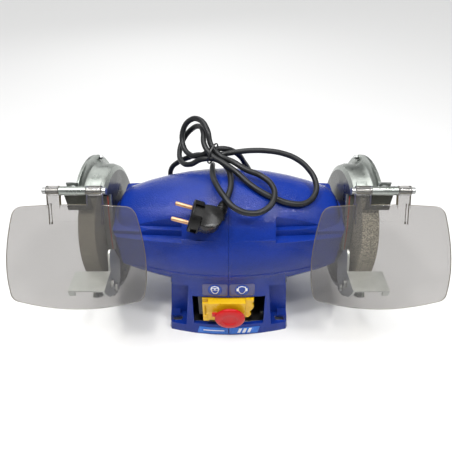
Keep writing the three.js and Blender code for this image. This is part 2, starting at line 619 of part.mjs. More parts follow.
// The lid closes over both buttons and carries the mushroom button; a hasp with a slot is on its free side.
function switchCover() {
  const { front, coverFace, centreX } = SWITCH;
  const back = front - GAP;
  let lid = box([-27, 22], [coverFace, back], [-96, -60.5]).subtract(box([-25, 20], [coverFace + 2, 0], [-94, -62.5]));
  const hasp = box([-34.5, -26.5], [coverFace + 1, coverFace + 3.2], [-99, -61]);
  lid = lid.add(hasp).subtract(box([-31.8, -29.4], [-90, -70], [-86, -66]));
  lid = lid.subtract(alongY(disc([-90, -70], MUSHROOM.collar + 0.6, 24), [centreX, 0, MUSHROOM.level]));
  return mesh('switch_cover', lid, yellowPlastic);
}

function stopButton() {
  const { radius, level, face, back, collar } = MUSHROOM;
  const profile = [
    [face + 0.9, 0], [face + 0.9, 10.5], [face, 12], [face + 0.3, 17], [face + 2, radius - 0.4], [back - 1.4, radius],
    [back, radius - 1.5], [back, collar], [-81, collar], [-81, 9.7], [-79.8, 9.7], [-79.8, 0],
  ];
  const body = alongY(turned(profile, 24), [SWITCH.centreX, 0, level]);
  const latch = box([-22, SWITCH.centreX], [back - 0.5, back + 1.3], [level + 2, level + 9]);
  return mesh('stop_button', body.add(latch), redPlastic);
}

function pushButton(name, [x, z, face], look) {
  const body = turned([[face, 0], [face, 5.8], [face + 0.7, 6.5], [-67, 6.5], [-67, 0]], 20);
  return mesh(name, alongY(body, [x, 0, z]), look);
}

// ---- mains lead ----
function gland() {
  const bore = CORD_RADIUS + GAP;
  const body = turned([
    [68, bore], [68, 8.7], [78.3, 8.7], [78.3, 12], [83, 12], [84, 7.5], [103, 5.6], [104, 4.8], [104, bore], [68, bore],
  ], 16);
  return mesh('cord_gland', alongY(body, [GLAND.x, 0, GLAND.z]), blackPlastic);
}

function cord() {
  const curve = new THREE.CatmullRomCurve3(CORD_ROUTE.map((p) => new THREE.Vector3(...p)), false, 'centripetal');
  const section = shapeOf(arc([0, 0], CORD_RADIUS, 0, 315, 7));
  const geometry = new THREE.ExtrudeGeometry(section, { steps: 80, extrudePath: curve, bevelEnabled: false });
  return mesh('power_cord', solid(geometry), rubber);
}

function tie() {
  const { centre, tilt, turn, inner, sheet, width } = TIE;
  const body = ring([-width / 2, width / 2], inner + sheet, inner, 20);
  return mesh('cord_tie', body.rotate([0, tilt, 0]).rotate([0, 0, turn]).translate(centre), blackPlastic);
}

// The plug's own frame: X back from its face to its heel, Z up the slope towards its cable, Y out of the slope.
function plug() {
  const { face, heel, slope, neckAt, neckLean, neckLength } = PLUG;
  const frame = new THREE.Group();
  const back = new THREE.Vector3(...heel).sub(new THREE.Vector3(...face)).normalize();
  const up = new THREE.Vector3(...slope).addScaledVector(back, -back.dot(new THREE.Vector3(...slope))).normalize();
  const out = new THREE.Vector3().crossVectors(up, back);
  new THREE.Matrix4().makeBasis(back, out, up).setPosition(...face)
    .decompose(frame.position, frame.quaternion, frame.scale);

  const head = turned([[0, 0], [0, 17.4], [1.2, 18.5], [11, 18.5], [13, 16], [13, 0]], 24);
  const heelBlock = plateAlong([[12, -14], [12, 14], [24, 15.5], [33, 12], [36, 2], [31, -9], [22, -14]], [-9, 9]);
  const taper = turned([[8, 0], [8, 8], [14, 7], [neckLength - GAP, 5], [neckLength - GAP, 0]], 14);
  const neck = alongZ(taper, [0, 0, 0]).rotate([0, neckLean, 0]).translate([neckAt, 0, 0]);
  frame.add(mesh('plug', union(head, heelBlock, neck), blackPlastic));
  for (const [name, offset] of [['plug_pin_1', 9.5], ['plug_pin_2', -9.5]]) {
    const pin = turned([[-19.5, 0], [-19.5, 1.4], [-18.4, 2.4], [-GAP, 2.4], [-GAP, 0]], 10);
    frame.add(mesh(name, pin.translate([0, 0, offset]), brass));
  }
  return frame;
}

// ---- the grinder ----
const grinder = new THREE.Group();
const onAxis = new THREE.Group();
onAxis.position.z = AXIS_HEIGHT;
grinder.add(onAxis);
onAxis.add(...housingHalves(), basePlate(), stator(), rotor(), fan(), shaft(), electricParts());
onAxis.add(switchBody(), switchPlate(), switchCover(), stopButton());
onAxis.add(pushButton('start_button', BUTTONS.start, greenPlastic), pushButton('off_button', BUTTONS.off, redPlastic));
onAxis.add(gland(), cord(), tie(), plug());
for (const side of ['right', 'left']) {
  const half = new THREE.Group();
  half.scale.x = side === 'right' ? 1 : -1;
  half.add(windingHead(`stator_winding_${side}`), bearing(`bearing_${side}`), wheelSet(side));
  half.add(guard(side), guardCover(side), coverScrews(side), bracket(side), clampBolt(side), sparkFlap(side));
  half.add(shield(side), toolRest(side), restBolts(side));
  onAxis.add(half);
}

export default grinder;
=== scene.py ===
"""The looks of a bench grinder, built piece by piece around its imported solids.

Metres, +Z up, +X along the spindle to the right wheel, -Y towards the user, the origin under the base.
"""
import json
import math

import bmesh
import bpy
from mathutils import Matrix, Vector


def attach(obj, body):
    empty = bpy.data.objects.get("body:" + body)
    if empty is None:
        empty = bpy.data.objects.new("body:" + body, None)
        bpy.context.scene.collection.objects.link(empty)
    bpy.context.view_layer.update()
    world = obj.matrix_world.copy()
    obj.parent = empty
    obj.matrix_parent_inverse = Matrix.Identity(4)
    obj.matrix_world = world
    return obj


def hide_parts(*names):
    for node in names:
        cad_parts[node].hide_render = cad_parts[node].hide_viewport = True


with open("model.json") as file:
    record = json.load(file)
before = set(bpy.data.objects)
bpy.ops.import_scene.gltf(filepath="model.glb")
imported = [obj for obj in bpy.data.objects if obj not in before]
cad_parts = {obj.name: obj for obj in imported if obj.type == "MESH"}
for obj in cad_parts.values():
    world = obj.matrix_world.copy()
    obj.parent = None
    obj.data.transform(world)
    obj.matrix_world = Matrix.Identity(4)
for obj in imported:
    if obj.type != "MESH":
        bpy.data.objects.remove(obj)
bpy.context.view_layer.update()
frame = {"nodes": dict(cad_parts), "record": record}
AXIS = 0.130  # height of the spindle above the bench

# ---------------------------------------------------------------- camera, light and floor
# The grinder stands on a plain white table and is seen from in front and well above.
# Three soft lamps light it: a broad one overhead, one at the front left, and a weak one behind.
camera = bpy.data.objects.new("camera", bpy.data.cameras.new("camera"))
camera.data.lens = 30.3
camera.data.sensor_width = 36.0
camera.data.shift_x = -0.006
camera.data.clip_start = 0.02
camera.location = (0.0, -0.390, 0.469)
view_line = Vector((0.0, 0.0, AXIS)) - camera.location
camera.rotation_euler = view_line.to_track_quat("-Z", "Y").to_euler()
bpy.context.scene.collection.objects.link(camera)
bpy.context.scene.camera = camera
bpy.context.scene.view_settings.view_transform = "Standard"

LAMP_AIM = Vector((0, 0, 0.12))
for lamp, place, power, size in (
    ("overhead_left", (-0.42, -0.30, 1.1), 5.0, 0.12),
    ("overhead_right", (0.55, -0.35, 1.1), 5.0, 0.12),
    ("overhead_middle", (0.05, -0.42, 1.2), 2.6, 0.1),
    ("behind", (-0.3, 1.2, 0.9), 2.5, 0.8),
):
    light = bpy.data.lights.new(lamp, "AREA")
    light.energy = power
    light.size = size
    holder = bpy.data.objects.new(lamp, light)
    holder.location = place
    holder.rotation_euler = (LAMP_AIM - Vector(place)).to_track_quat("-Z", "Y").to_euler()
    bpy.context.scene.collection.objects.link(holder)

sun = bpy.data.objects.new("ceiling", bpy.data.lights.new("ceiling", "SUN"))
sun.data.energy = 1.7
sun.data.angle = math.radians(50)
sun.rotation_euler = (math.radians(-12), math.radians(-6), 0)
bpy.context.scene.collection.objects.link(sun)

sky = bpy.data.worlds.new("studio")
sky.use_nodes = True
sky_nodes, sky_link = sky.node_tree.nodes, sky.node_tree.links.new
way = sky_nodes.new("ShaderNodeTexCoord")
height = sky_nodes.new("ShaderNodeSeparateXYZ")
shade = sky_nodes.new("ShaderNodeValToRGB")
shade.color_ramp.elements[0].position = 0.02
shade.color_ramp.elements[0].color = (0.80, 0.80, 0.80, 1.0)
shade.color_ramp.elements[1].position = 0.9
shade.color_ramp.elements[1].color = (0.55, 0.55, 0.54, 1.0)
low_wall = shade.color_ramp.elements.new(0.22)
low_wall.color = (0.16, 0.165, 0.17, 1.0)
sky_link(way.outputs["Generated"], height.inputs["Vector"])
sky_link(height.outputs["Z"], shade.inputs["Fac"])
sky_link(shade.outputs["Color"], sky_nodes["Background"].inputs["Color"])
sky_nodes["Background"].inputs["Strength"].default_value = 1.0
bpy.context.scene.world = sky


def meshed(name, shape):
    """The mesh of a finished shape."""
    mesh = bpy.data.meshes.new(name)
    shape.to_mesh(mesh)
    return mesh


table = bmesh.new()
bmesh.ops.create_grid(table, x_segments=1, y_segments=1, size=8.0)
floor_mesh = meshed("table_top", table)
floor = bpy.data.objects.new("table_top", floor_mesh)
bpy.context.scene.collection.objects.link(floor)
floor_finish = bpy.data.materials.new("white_table")
floor_finish.use_nodes = True
floor_shader = floor_finish.node_tree.nodes["Principled BSDF"]
floor_shader.inputs["Base Color"].default_value = (0.74, 0.74, 0.74, 1.0)
floor_shader.inputs["Roughness"].default_value = 0.9
floor.data.materials.append(floor_finish)

# ---------------------------------------------------------------- mains lead
# A 7 mm round rubber lead, folded into loops that a wire tie holds above the crown, with its plug at the
# front. The rubber is satin charcoal, paler where it has been handled, with a fine drawn grain along it.
CORD_RADIUS = 0.0035
# Points in millimetres from the spindle axis, the same as in part.mjs. They were picked along the loops and
# then moved and evened out by a relaxation program, so this list isn't one chosen by hand.
CORD_ROUTE = (
    (30, 66, -70), (30, 85.2, -70), (30, 104.5, -70), (30.4, 122.9, -65.7), (31.9, 135.4, -51.6),
    (33.7, 137.2, -32.9), (34.9, 128, -16.3), (35.2, 114.2, -2.9), (34.7, 99.6, 9.6), (33.4, 85.9, 23),
    (31, 73.6, 37.6), (27.1, 62.4, 52.7), (20.7, 52.6, 68), (13, 44.6, 83.7), (-0.7, 39, 95.3),
    (-19.3, 35.7, 96.6), (-35.8, 37.1, 87.7), (-50.5, 47.6, 82.3), (-60.6, 61.9, 88.8),
    (-60.4, 71.9, 104.5), (-49.9, 70.7, 119.8), (-36.1, 59.3, 125.4), (-26.6, 44.2, 119.3),
    (-21.9, 32.5, 105), (-9.6, 22.3, 95.3), (5.6, 10.6, 94.1), (20.9, -0.2, 90), (38.2, -7.4, 86.1),
    (50.6, -21.1, 82.1), (52.2, -39.1, 76.8), (42.2, -54.5, 72.3), (24.7, -61.6, 72.1),
    (6.8, -57.8, 76.7), (-5.3, -44.5, 83), (-13.9, -27.8, 86.4), (-18.6, -9.2, 86.3), (-20, 9.8, 83.7),
    (-20.5, 28.1, 78.1), (-21, 44.8, 68.7), (-22.3, 59.2, 56), (-22.7, 70.7, 40.6), (-25.6, 77.7, 23.3),
    (-38.3, 79.6, 9.5), (-56.6, 78.6, 5.2), (-73.9, 76.1, 12.6), (-83.1, 72.9, 28.8),
    (-80.9, 69.6, 47.3), (-68.8, 65.1, 61.1), (-55.1, 57.2, 72.1), (-40.4, 49, 81.4),
    (-25.5, 37.9, 85.9), (-9.1, 31.2, 92.4), (9.8, 32, 95.4), (29, 32.4, 97.3), (48.2, 31.3, 97.4),
    (67.1, 28.7, 95.5), (84.8, 23.2, 90.6), (99.2, 14.1, 81.9), (107.2, -0.1, 72.3),
    (104.2, -17.4, 65.3), (91.3, -30.9, 63), (73.1, -35.4, 65.8), (54.8, -32.4, 70.7),
    (37.8, -25.4, 75.9), (23, -14.1, 80.7), (9.6, -1.9, 87.2), (-4.9, 9.4, 92.3), (-19.7, 21.1, 95.7),
    (-30.4, 34, 104.3), (-32.2, 50.5, 113.1), (-38.1, 68.4, 112.3), (-50.1, 79, 102.5), (-61.9, 77, 88),
    (-66.6, 63.4, 76), (-61.7, 45.7, 72.2), (-49.4, 32.3, 77.3), (-33.8, 28.2, 87.3), (-15.4, 24.3, 89),
    (-1.8, 12, 84.7), (2.2, -6.3, 81.8), (1.7, -25.3, 78.9), (-4.1, -42.6, 73.2),
)


def grain_group():
    """A group that puts out fine and broad unevenness of a surface, each from 0 to 1."""
    group = bpy.data.node_groups.new("surface_grain", "ShaderNodeTree")
    for name, kind, way in (
        ("Stretch", "NodeSocketVector", "INPUT"),
        ("Fine Scale", "NodeSocketFloat", "INPUT"),
        ("Broad Scale", "NodeSocketFloat", "INPUT"),
        ("Fine", "NodeSocketFloat", "OUTPUT"),
        ("Broad", "NodeSocketFloat", "OUTPUT"),
    ):
        group.interface.new_socket(name=name, in_out=way, socket_type=kind)
    inside = group.nodes
    come, go = inside.new("NodeGroupInput"), inside.new("NodeGroupOutput")
    place = inside.new("ShaderNodeTexCoord")
    stretched = inside.new("ShaderNodeVectorMath")
    stretched.operation = "MULTIPLY"
    fine, broad = (inside.new("ShaderNodeTexNoise") for _ in range(2))
    fine.inputs["Detail"].default_value = 3.0
    broad.inputs["Detail"].default_value = 4.0
    broad.inputs["Roughness"].default_value = 0.6
    link = group.links.new
    link(place.outputs["Object"], stretched.inputs[0])
    link(come.outputs["Stretch"], stretched.inputs[1])
    for texture, scale in ((fine, "Fine Scale"), (broad, "Broad Scale")):
        link(stretched.outputs["Vector"], texture.inputs["Vector"])
        link(come.outputs[scale], texture.inputs["Scale"])
    link(fine.outputs["Fac"], go.inputs["Fine"])
    link(broad.outputs["Fac"], go.inputs["Broad"])
    return group


GRAIN = grain_group()
FINE_SHARE = 0.35  # the part of a colour that follows the fine grain; the rest follows the broad one


def finish(name, dark, pale, rough, metal=0.0, fine=900.0, broad=25.0, stretch=(1, 1, 1), bump=0.00008,
           spread=(0.35, 0.65), relief="Fine", **sockets):
    """A finish that wanders between two colours and two roughnesses over a fine relief."""
    made = bpy.data.materials.new(name)
    made.use_nodes = True
    nodes, link = made.node_tree.nodes, made.node_tree.links.new
    shader = nodes["Principled BSDF"]
    shader.inputs["Metallic"].default_value = metal
    for socket, value in sockets.items():
        shader.inputs[socket.replace("_", " ")].default_value = value
    grain = nodes.new("ShaderNodeGroup")
    grain.node_tree = GRAIN
    grain.inputs["Stretch"].default_value = stretch
    grain.inputs["Fine Scale"].default_value = fine
    grain.inputs["Broad Scale"].default_value = broad
    ramp = nodes.new("ShaderNodeValToRGB")
    ramp.color_ramp.elements[0].position, ramp.color_ramp.elements[1].position = spread
    ramp.color_ramp.elements[0].color = (*dark, 1.0)
    ramp.color_ramp.elements[1].color = (*pale, 1.0)
    blend = nodes.new("ShaderNodeMath")
    blend.operation = "MULTIPLY_ADD"
    blend.inputs[1].default_value = FINE_SHARE
    link(grain.outputs["Fine"], blend.inputs[0])
    scaled = nodes.new("ShaderNodeMath")
    scaled.operation = "MULTIPLY"
    scaled.inputs[1].default_value = 1 - FINE_SHARE
    link(grain.outputs["Broad"], scaled.inputs[0])
    link(scaled.outputs[0], blend.inputs[2])
    link(blend.outputs[0], ramp.inputs["Fac"])
    link(ramp.outputs["Color"], shader.inputs["Base Color"])
    sheen = nodes.new("ShaderNodeMapRange")
    sheen.inputs["From Min"].default_value = 0.3
    sheen.inputs["From Max"].default_value = 0.7
    sheen.inputs["To Min"].default_value = rough[0]
    sheen.inputs["To Max"].default_value = rough[1]
    link(grain.outputs["Broad"], sheen.inputs["Value"])
    link(sheen.outputs["Result"], shader.inputs["Roughness"])
    raised = nodes.new("ShaderNodeBump")
    raised.inputs["Distance"].default_value = bump
    raised.inputs["Strength"].default_value = 1.0
    link(grain.outputs[relief], raised.inputs["Height"])
    link(raised.outputs["Normal"], shader.inputs["Normal"])
    return made


def body_with(node):
    """The moving body that holds a solid."""
    return next(body for body, held in frame["record"]["behaviour"]["bodies"].items() if node in held)


def shown(name, mesh, look, node=None, body=None, smooth=35):
    """Puts a finished mesh in the scene, on its body and in place of its solid."""
    mesh.materials.clear()
    mesh.materials.append(look)
    mesh.shade_smooth()
    mesh.set_sharp_from_angle(angle=math.radians(smooth))
    piece = bpy.data.objects.new(name, mesh)
    bpy.context.scene.collection.objects.link(piece)
    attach(piece, body or body_with(node))
    if node:
        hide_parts(node)
    return piece


rubber = finish("cord_rubber", (0.006, 0.0065, 0.0075), (0.019, 0.020, 0.022), (0.3, 0.45), fine=2600.0,
                broad=60.0, bump=0.00006, Specular_IOR_Level=0.32)
line = bpy.data.curves.new("mains_lead", "CURVE")
line.dimensions = "3D"
line.bevel_depth = CORD_RADIUS
line.bevel_resolution = 5
line.resolution_u = 6
line.use_fill_caps = True
spline = line.splines.new("BEZIER")
spline.bezier_points.add(len(CORD_ROUTE) - 1)
for knot, (x, y, z) in zip(spline.bezier_points, CORD_ROUTE):
    knot.co = (x / 1000, y / 1000, z / 1000 + AXIS)
    knot.handle_left_type = knot.handle_right_type = "AUTO"
line.materials.append(rubber)
lead = bpy.data.objects.new("mains_lead", line)
bpy.context.scene.collection.objects.link(lead)
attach(lead, "frame")
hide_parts("power_cord")

# ---------------------------------------------------------------- gland and tie
# The lead leaves the back of the base through a tapered black gland, moulded round it against kinks.
# The tie is a flat plastic-covered wire, wrapped round the five strands and twisted shut.
black_moulding = finish("black_moulding", (0.012, 0.012, 0.013), (0.026, 0.026, 0.028), (0.3, 0.46),
                        fine=1800.0, broad=45.0, bump=0.00004)
GLAND_X, GLAND_Z = 0.030, AXIS - 0.070
RIBS, RIB_PITCH, FIRST_RIB = 5, 3.6, 87
FIRST_RIB_RADIUS, RIB_TAPER = 7.4, 0.5
gland = bmesh.new()
for x, y in ((4.2, 68), (8.6, 68), (8.6, 78.2), (11.9, 78.4), (12, 82.4), (11.2, 83.2), (7.8, 84)):
    gland.verts.new((x / 1000, y / 1000, 0))
for step in range(RIBS):
    reach = FIRST_RIB + step * RIB_PITCH
    outer = FIRST_RIB_RADIUS - step * RIB_TAPER
    for x, y in ((outer, reach - 1.6), (outer, reach + 0.4), (outer - 1.1, reach + 0.7),
                 (outer - 1.1, reach + 1.7)):
        gland.verts.new((x / 1000, y / 1000, 0))
for x, y in ((4.6, 104), (3.8, 104), (3.8, 68)):
    gland.verts.new((x / 1000, y / 1000, 0))
gland.verts.ensure_lookup_table()
rim = list(gland.verts)
for a, b in zip(rim, rim[1:] + rim[:1]):
    gland.edges.new((a, b))
bmesh.ops.spin(gland, geom=list(gland.edges) + rim, cent=(0, 0, 0), axis=(0, 1, 0), angle=2 * math.pi,
               steps=32, use_merge=True)
bmesh.ops.remove_doubles(gland, verts=gland.verts, dist=1e-6)
bmesh.ops.recalc_face_normals(gland, faces=gland.faces)
bmesh.ops.translate(gland, verts=gland.verts, vec=(GLAND_X, 0, GLAND_Z))
gland_mesh = meshed("lead_gland", gland)
gland_piece = shown("lead_gland", gland_mesh, black_moulding, "cord_gland")


def rounded(piece, width, segments=2, angle=35):
    """Rounds the edges of a piece that turn sharply."""
    step = piece.modifiers.new("rounded_edges", "BEVEL")
    step.width = width
    step.segments = segments
    step.limit_method = "ANGLE"
    step.angle_limit = math.radians(angle)
    step.harden_normals = True


def dressed(node, look, bevel=0.0005, smooth=35, segments=2, body=None):
    """The solid as a clean copy: doubles merged, flat areas whole, edges rounded, and a finish put on it."""
    shape = bmesh.new()
    shape.from_mesh(frame["nodes"][node].data)
    bmesh.ops.remove_doubles(shape, verts=shape.verts, dist=2e-6)
    bmesh.ops.dissolve_limit(shape, angle_limit=math.radians(0.6), verts=shape.verts, edges=shape.edges)
    mesh = meshed(f"{node}_skin", shape)
    piece = shown(f"{node}_skin", mesh, look, node, body, smooth)
    if bevel:
        rounded(piece, bevel, segments, 40)
    return piece


tie = dressed("cord_tie", black_moulding, bevel=0.0002)
WIRE_RADIUS, WIRE_OFFSET = 0.0007, 0.0008
TWIST_PLACE, TWIST_LEAN = (-0.0205, 0.0165, AXIS + 0.0965), math.radians(62)
twist = bmesh.new()
for turn in range(2):
    start = len(twist.verts)
    bmesh.ops.create_circle(twist, segments=10, radius=WIRE_RADIUS)
    twist.verts.ensure_lookup_table()
    verts = twist.verts[start:]
    bmesh.ops.translate(twist, verts=verts, vec=(WIRE_OFFSET * (1 - 2 * turn), 0, 0))
bmesh.ops.spin(twist, geom=list(twist.edges) + list(twist.verts), cent=(0, 0, 0), axis=(0, 0, 1),
               dvec=(0, 0, 0.0006), angle=math.radians(900), steps=24)
bmesh.ops.recalc_face_normals(twist, faces=twist.faces)
bmesh.ops.holes_fill(twist, edges=twist.edges)
bmesh.ops.transform(twist, verts=twist.verts, matrix=Matrix.Translation(TWIST_PLACE)
                    @ Matrix.Rotation(TWIST_LEAN, 4, "X"))
twist_mesh = meshed("tie_twist", twist)
twist_piece = shown("tie_twist", twist_mesh, black_moulding, body="frame")

# ---------------------------------------------------------------- plug
# A two-pin right-angle mains plug, moulded in glossy black: a round head with angular finger recesses,
# a body that tapers to a ribbed neck round the lead, and two round pins.
plug_face, plug_heel, plug_slope = Vector((-42.4, -65, 72.4)), Vector((-8.5, -67.5, 62.4)), Vector((0, 0.9,
                                                                                                    0.43))
back = (plug_heel - plug_face).normalized()
up = (plug_slope - back * back.dot(plug_slope)).normalized()
out = up.cross(back)
plug_place = Matrix.Translation(plug_face / 1000 + Vector((0, 0, AXIS)))
plug_frame = plug_place @ Matrix((back, out, up)).transposed().to_4x4()
plug_gloss = finish("plug_gloss", (0.003, 0.003, 0.0034), (0.007, 0.0068, 0.0064), (0.22, 0.34), fine=1500.0,
                    broad=70.0, bump=0.00003, Specular_IOR_Level=0.3)


def spun(profile, steps=48):
    """A closed shape turned about the X axis from its outline of along and radius, in millimetres."""
    shape = bmesh.new()
    ring = [shape.verts.new((along / 1000, radius / 1000, 0)) for along, radius in profile]
    for a, b in zip(ring, ring[1:]):
        shape.edges.new((a, b))
    bmesh.ops.spin(shape, geom=ring + list(shape.edges), cent=(0, 0, 0), axis=(1, 0, 0), angle=2 * math.pi,
                   steps=steps, use_merge=True)
    bmesh.ops.remove_doubles(shape, verts=shape.verts, dist=1e-6)
    bmesh.ops.recalc_face_normals(shape, faces=shape.faces)
    return shape


def block(shape, lows, highs):
    """Adds a closed block to a shape, between two corners in millimetres."""
    middle = [(a + b) / 2000 for a, b in zip(lows, highs)]
    span = [(b - a) / 1000 for a, b in zip(lows, highs)]
    matrix = Matrix.Translation(middle) @ Matrix.Diagonal((*span, 1))
    bmesh.ops.create_cube(shape, size=1, matrix=matrix)


def carve(piece, tools, how="DIFFERENCE"):
    """Joins or cuts a piece with a set of closed shapes, and keeps the result."""
    mesh = meshed("tool", tools)
    tool = bpy.data.objects.new("tool", mesh)
    bpy.context.scene.collection.objects.link(tool)
    step = piece.modifiers.new("carve", "BOOLEAN")
    step.operation = how
    step.solver = "EXACT"
    step.use_self = True
    step.object = tool
    depsgraph = bpy.context.evaluated_depsgraph_get()
    result = bpy.data.meshes.new_from_object(piece.evaluated_get(depsgraph))
    piece.modifiers.remove(step)
    piece.data = result
    bpy.data.objects.remove(tool)


head = spun([(0, 0), (0, 17.2), (0.5, 18.0), (1.3, 18.5), (10.6, 18.5), (11.6, 18.1), (12.6, 16.6), (13, 15),
             (13, 0)], 56)
head_mesh = meshed("plug_head", head)
plug = shown("plug_body", head_mesh, plug_gloss, "plug")
heel = bmesh.new()
HEEL_HALF = 0.009
outline = [(10, -13), (10, 13), (17, 14.6), (24, 15.2), (30, 13.6), (34.6, 9), (36, 2), (34, -5), (30, -10),
           (22, -13.6)]
floor_loop = [heel.verts.new((x / 1000, -HEEL_HALF, z / 1000)) for x, z in outline]
heel_face = heel.faces.new(floor_loop)
raised = bmesh.ops.extrude_face_region(heel, geom=[heel_face])
bmesh.ops.translate(heel, vec=(0, 2 * HEEL_HALF, 0),
                    verts=[v for v in raised["geom"] if isinstance(v, bmesh.types.BMVert)])
bmesh.ops.recalc_face_normals(heel, faces=heel.faces)
bmesh.ops.bevel(heel, geom=list(heel.edges), offset=0.0011, offset_type="OFFSET", segments=2, profile=0.5,
                affect="EDGES", clamp_overlap=True, material=-1)
carve(plug, heel, "UNION")
NECK_PLACE, NECK_LEAN = 0.029, 12
neck = spun([(7, 0), (7, 8.2), (11, 7.9), (13.6, 7.3), (14, 6.4), (15.2, 6.3), (15.6, 7.0), (17.2, 6.8),
             (17.6, 5.9), (18.8, 5.8), (19.2, 6.4), (20.8, 6.2), (21.2, 5.4), (22.4, 5.3), (22.8, 5.9),
             (24.4, 5.7), (24.8, 5.0), (26.2, 4.9), (27.6, 4.6), (27.6, 0)], 32)
bmesh.ops.transform(neck, verts=neck.verts, matrix=Matrix.Translation((NECK_PLACE, 0, 0))
                    @ Matrix.Rotation(math.radians(NECK_LEAN), 4, "Y")
                    @ Matrix.Rotation(math.radians(-90), 4, "Y"))
carve(plug, neck, "UNION")
hollows = bmesh.new()
block(hollows, (2.6, 13.6, -6.5), (14, 22, 6.5))
block(hollows, (2.6, -22, -6.5), (14, -13.6, 6.5))
block(hollows, (4.0, 10.4, -4.0), (14, 22, 4.0))
for side in (-1, 1):
    block(hollows, (3.5, -6, min(side * 14.8, side * 22)), (10.5, 6, max(side * 14.8, side * 22)))
carve(plug, hollows)
plug.data.transform(plug_frame)
rounded(plug, 0.0006, 2, 30)
plug.data.set_sharp_from_angle(angle=math.radians(30))
copper_tan = finish("pin_metal", (0.5, 0.27, 0.13), (0.72, 0.45, 0.27), (0.22, 0.4), metal=1.0, fine=1400.0,
                    broad=150.0, bump=0.00002)
PIN_SPACING = 19
for name, height in (("plug_pin_1", PIN_SPACING / 2), ("plug_pin_2", -PIN_SPACING / 2)):
    pin = spun([(-19.5, 0), (-19.5, 1.1), (-19.2, 1.7), (-18.5, 2.2), (-17.4, 2.4), (-0.3, 2.4), (-0.3, 0)],
               24)
    bmesh.ops.transform(pin, verts=pin.verts, matrix=plug_frame @ Matrix.Translation((0, 0, height / 1000)))
    pin_mesh = meshed(f"{name}_metal", pin)
    shown(f"{name}_metal", pin_mesh, copper_tan, name)

# ---------------------------------------------------------------- housing
# Two aluminium castings that meet at the middle of the machine: a bowed barrel over a hollow, waisted base.
# They are sprayed with a thick, glossy royal blue whose fine pebbled texture breaks its highlights into
# specks.
blue = finish("royal_blue_paint", (0.003, 0.019, 0.16), (0.006, 0.031, 0.28), (0.06, 0.14), fine=620.0,
              broad=14.0, bump=0.0006, spread=(0.3, 0.7), Specular_IOR_Level=0.25)
LIP_RADIUS, LIP_SIDES, LIP_STEPS = 0.0009, 8, 40
LIP_START, LIP_REACH, LIP_DROP, LIP_RISE = 0.0006, 0.120, 0.0165, 0.1
# A thin rolled lip runs round the front and the back of the barrel, just above the base.
for side in ("left", "right"):
    half = dressed(f"housing_{side}", blue, bevel=0.0009, smooth=32, segments=3)
    ahead = -1 if side == "left" else 1
    for face_y in (-1, 1):
        lip = bmesh.new()
        rings = []
        for i in range(LIP_STEPS + 1):
            x = ahead * (LIP_START + LIP_REACH * i / LIP_STEPS)
            low = AXIS - LIP_DROP + LIP_RISE * x * x
            hit, place, normal, _ = half.ray_cast(Vector((x, face_y * 0.2, low)), Vector((0, -face_y, 0)))
            if not hit:
                continue
            ring = [lip.verts.new((x, place.y + LIP_RADIUS * math.cos(a), low + LIP_RADIUS * math.sin(a)))
                    for a in (2 * math.pi * k / LIP_SIDES for k in range(LIP_SIDES))]
            rings.append(ring)
        for near, far in zip(rings, rings[1:]):
            for k in range(LIP_SIDES):
                after = (k + 1) % LIP_SIDES
                lip.faces.new((near[k], near[after], far[after], far[k]))
        lip.faces.new(rings[0])
        lip.faces.new(rings[-1])
        bmesh.ops.recalc_face_normals(lip, faces=lip.faces)
        lip_mesh = meshed(f"housing_lip_{side}", lip)
        shown(f"housing_lip_{side}_{'front' if face_y < 0 else 'back'}", lip_mesh, blue, body="frame")

# ---------------------------------------------------------------- base plate
# A flat steel plate closes the bottom of the base, and two screws hold it.
zinc_steel = finish("zinc_plated_steel", (0.36, 0.37, 0.37), (0.58, 0.59, 0.58), (0.28, 0.45), metal=1.0,
                    fine=1200.0, broad=80.0, bump=0.00003)
for node in ("base_plate", "base_screw_1", "base_screw_2"):
    dressed(node, zinc_steel, bevel=0.0003)

# ---------------------------------------------------------------- motor
# The motor inside the barrel: stacked steel rings, copper winding heads, two bearings and a plastic fan,
# with the run capacitor and the terminal block in the base.
laminations = finish("stacked_steel", (0.09, 0.09, 0.095), (0.2, 0.2, 0.205), (0.4, 0.6), metal=0.9,
                     fine=60.0, broad=30.0, stretch=(30, 1, 1), bump=0.00006)
varnished_wire = finish("varnished_copper", (0.3, 0.08, 0.02), (0.6, 0.22, 0.08), (0.25, 0.45), metal=0.7,
                        fine=900.0, broad=40.0, stretch=(1.6, 0.4, 0.4), bump=0.0003)
bearing_steel = finish("bearing_steel", (0.5, 0.5, 0.5), (0.66, 0.66, 0.66), (0.15, 0.28), metal=1.0,
                       fine=900.0, broad=60.0, bump=0.00002)
cream_plastic = finish("cream_plastic", (0.55, 0.54, 0.47), (0.68, 0.67, 0.6), (0.4, 0.55), fine=1500.0,
                       broad=40.0, bump=0.00003)
for node, look in (("stator_core", laminations), ("rotor_core", laminations),
                   ("stator_winding_left", varnished_wire), ("stator_winding_right", varnished_wire),
                   ("bearing_left", bearing_steel), ("bearing_right", bearing_steel),
                   ("cooling_fan", black_moulding), ("run_capacitor", cream_plastic),
                   ("terminal_block", cream_plastic)):
    dressed(node, look, bevel=0.0004)

